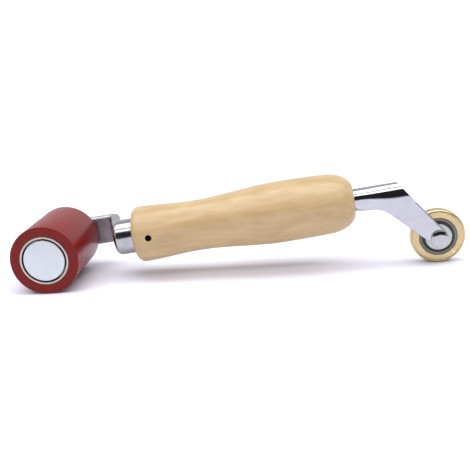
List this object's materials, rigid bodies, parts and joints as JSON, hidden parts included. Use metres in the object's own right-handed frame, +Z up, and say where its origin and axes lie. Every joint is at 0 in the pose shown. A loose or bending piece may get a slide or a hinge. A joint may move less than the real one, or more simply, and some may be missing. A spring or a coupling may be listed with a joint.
{
  "type": "seam roller",
  "caption": "Hand seam roller with a turned wooden handle, a silicone pressure roller on a side bracket at one end and a narrow brass penny wheel on a cranked arm at the other.",
  "frame": {"origin": "centre of the bounding box footprint, on the surface both wheels rest on", "axes": "+Z up, +X from the silicone roller along the handle to the penny wheel, +Y from the open face of the silicone roller towards its bracket; both wheels turn about Y"},
  "size_m": [0.264, 0.068, 0.056],
  "materials": {
    "hardware": "bright zinc plate",
    "brass_penny_wheel": "turned, satin",
    "collar_and_tang": "bright plated",
    "seal": "matt black",
    "bearing_ball": "polished",
    "cage": "natural nylon",
    "race": "ground",
    "handle_cross_pin": "dull",
    "outer_race_spacer": "machined",
    "penny_arm": "bright plated",
    "penny_axle_rivet": "bright plated, peened",
    "rear_circlip": "oiled spring steel",
    "roller_axle": "satin turned",
    "roller_bracket": "dull zinc plate",
    "roller_tube": "satin turned",
    "silicone_sleeve": "satin moulded silicone",
    "wooden_handle": "fine sanded, clear lacquer"
  },
  "bodies": {
    "frame": {"wooden_handle": "wooden_handle", "collar_and_tang": "collar_and_tang", "handle_cross_pin": "handle_cross_pin", "roller_bracket": "roller_bracket", "roller_axle": "roller_axle", "bracket_standoff": "hardware", "axle_washer": "hardware", "axle_lock_nut": "hardware", "inner_race_spacer": "hardware", "front_bearing_inner_race": "race", "rear_bearing_inner_race": "race", "penny_arm": "penny_arm", "penny_axle_rivet": "penny_axle_rivet", "penny_spacer": "hardware", "penny_bearing_inner_race": "race"},
    "silicone_roller": {"silicone_sleeve": "silicone_sleeve", "roller_tube": "roller_tube", "outer_race_spacer": "outer_race_spacer", "rear_circlip": "rear_circlip", "front_bearing_outer_race": "race", "front_bearing_front_seal": "seal", "front_bearing_back_seal": "seal", "rear_bearing_outer_race": "race", "rear_bearing_front_seal": "seal", "rear_bearing_back_seal": "seal"},
    "front_ball_set": {"front_bearing_cage": "cage", "front_bearing_ball_1": "bearing_ball", "front_bearing_ball_2": "bearing_ball", "front_bearing_ball_3": "bearing_ball", "front_bearing_ball_4": "bearing_ball", "front_bearing_ball_5": "bearing_ball", "front_bearing_ball_6": "bearing_ball", "front_bearing_ball_7": "bearing_ball"},
    "rear_ball_set": {"rear_bearing_cage": "cage", "rear_bearing_ball_1": "bearing_ball", "rear_bearing_ball_2": "bearing_ball", "rear_bearing_ball_3": "bearing_ball", "rear_bearing_ball_4": "bearing_ball", "rear_bearing_ball_5": "bearing_ball", "rear_bearing_ball_6": "bearing_ball", "rear_bearing_ball_7": "bearing_ball"},
    "penny_wheel": {"brass_penny_wheel": "brass_penny_wheel", "penny_bearing_outer_race": "race", "penny_bearing_front_seal": "seal", "penny_bearing_back_seal": "seal"},
    "penny_ball_set": {"penny_bearing_cage": "cage", "penny_bearing_ball_1": "bearing_ball", "penny_bearing_ball_2": "bearing_ball", "penny_bearing_ball_3": "bearing_ball", "penny_bearing_ball_4": "bearing_ball", "penny_bearing_ball_5": "bearing_ball", "penny_bearing_ball_6": "bearing_ball", "penny_bearing_ball_7": "bearing_ball"}
  },
  "joints": [
    {"name": "silicone_roller_spin", "type": "hinge", "parent": "frame", "child": "silicone_roller", "pos_m": [-0.11195, -0.00855, 0.02], "axis": [0, 1, 0], "continuous": true},
    {"name": "front_balls_roll", "type": "hinge", "parent": "frame", "child": "front_ball_set", "pos_m": [-0.11195, -0.00855, 0.02], "axis": [0, 1, 0], "continuous": true},
    {"name": "rear_balls_roll", "type": "hinge", "parent": "frame", "child": "rear_ball_set", "pos_m": [-0.11195, -0.00855, 0.02], "axis": [0, 1, 0], "continuous": true},
    {"name": "penny_wheel_spin", "type": "hinge", "parent": "frame", "child": "penny_wheel", "pos_m": [0.11605, -0.00855, 0.0159], "axis": [0, 1, 0], "continuous": true},
    {"name": "penny_balls_roll", "type": "hinge", "parent": "frame", "child": "penny_ball_set", "pos_m": [0.11605, -0.00855, 0.0159], "axis": [0, 1, 0], "continuous": true}
  ],
  "couplings": [
    {"joint": "front_balls_roll", "follows": "silicone_roller_spin", "ratio": 0.6219},
    {"joint": "rear_balls_roll", "follows": "silicone_roller_spin", "ratio": 0.6219},
    {"joint": "penny_balls_roll", "follows": "penny_wheel_spin", "ratio": 0.6221}
  ]
}
